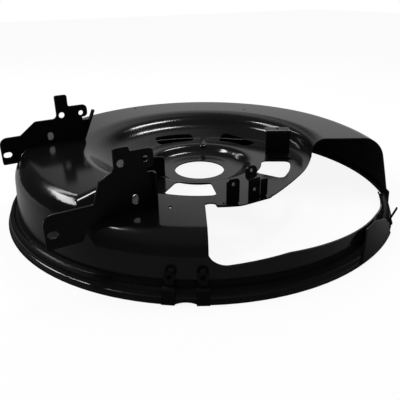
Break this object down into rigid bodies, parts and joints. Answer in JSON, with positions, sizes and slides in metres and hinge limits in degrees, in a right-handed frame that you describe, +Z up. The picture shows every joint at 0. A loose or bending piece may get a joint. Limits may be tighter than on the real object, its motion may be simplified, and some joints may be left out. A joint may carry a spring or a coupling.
{
  "type": "lawn mower deck",
  "caption": "Round pressed steel deck shell of a riding mower, with a raised blade tunnel, dished centre, open side discharge and welded hanger plates and tabs, in gloss black.",
  "frame": {"origin": "on the spindle axis at the level of the rim's lower edge", "axes": "+X towards the front of the mower, +Y towards its left side, +Z up along the spindle axis"},
  "size_m": [0.82, 0.8199, 0.225],
  "materials": {
    "black_paint": "gloss"
  },
  "bodies": {
    "root": {"deck_shell": "black_paint", "left_hanger": "black_paint", "right_hanger": "black_paint", "cover_bracket": "black_paint", "belt_guide": "black_paint", "brake_ear": "black_paint", "brake_tab": "black_paint", "brake_stop": "black_paint", "rear_rim_eye": "black_paint", "front_rim_eye": "black_paint", "chute_plate": "black_paint", "chute_hook": "black_paint"}
  },
  "joints": []
}
